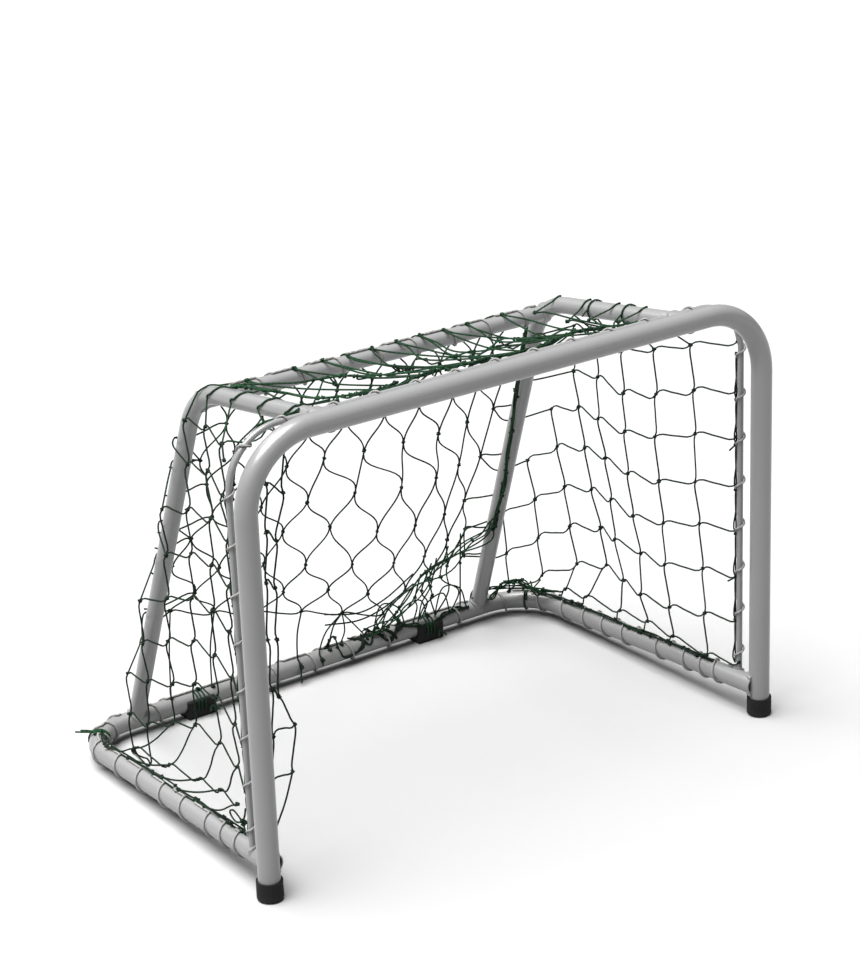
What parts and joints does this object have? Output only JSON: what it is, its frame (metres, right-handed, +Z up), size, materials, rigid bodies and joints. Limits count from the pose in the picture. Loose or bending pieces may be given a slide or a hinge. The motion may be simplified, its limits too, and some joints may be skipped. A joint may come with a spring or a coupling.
{
  "type": "hockey goal net",
  "caption": "Small street-hockey goal: welded white steel tube frame with a bent front arch, on rubber feet, and a knotted cord net laced to it at the sides, top and back.",
  "frame": {"origin": "on the floor, under the middle of the goal's bounding box", "axes": "+Z up, +Y from the goal mouth towards the back, +X to the right when looking into the goal"},
  "size_m": [0.8256, 0.5333, 0.6],
  "materials": {
    "frame_paint": "glossy light grey-white powder coat",
    "rubber": "matt black moulded rubber",
    "net_cord": "very dark green twisted polyethylene cord",
    "lace_cord": "off-white twisted cord"
  },
  "bodies": {
    "root": {"front_arch": "frame_paint", "base_loop": "frame_paint", "rear_upright_left": "frame_paint", "rear_upright_right": "frame_paint", "top_rear_bar": "frame_paint", "net_rod_left": "frame_paint", "net_rod_top": "frame_paint", "net_rod_right": "frame_paint", "post_welds": "frame_paint", "upright_foot_welds": "frame_paint", "crossbar_welds": "frame_paint", "top_bar_welds": "frame_paint", "rod_welds": "frame_paint", "foot_cap_left": "rubber", "foot_cap_right": "rubber", "rear_pad_left": "rubber", "rear_pad_right": "rubber", "net_side_left": "net_cord", "net_side_right": "net_cord", "net_top": "net_cord", "net_back": "net_cord", "lace_base_left": "lace_cord", "lace_base_right": "lace_cord", "lace_base_rear": "lace_cord", "lace_rod_left": "lace_cord", "lace_rod_right": "lace_cord", "lace_rod_top": "lace_cord", "lace_top_bar": "lace_cord"}
  },
  "joints": []
}
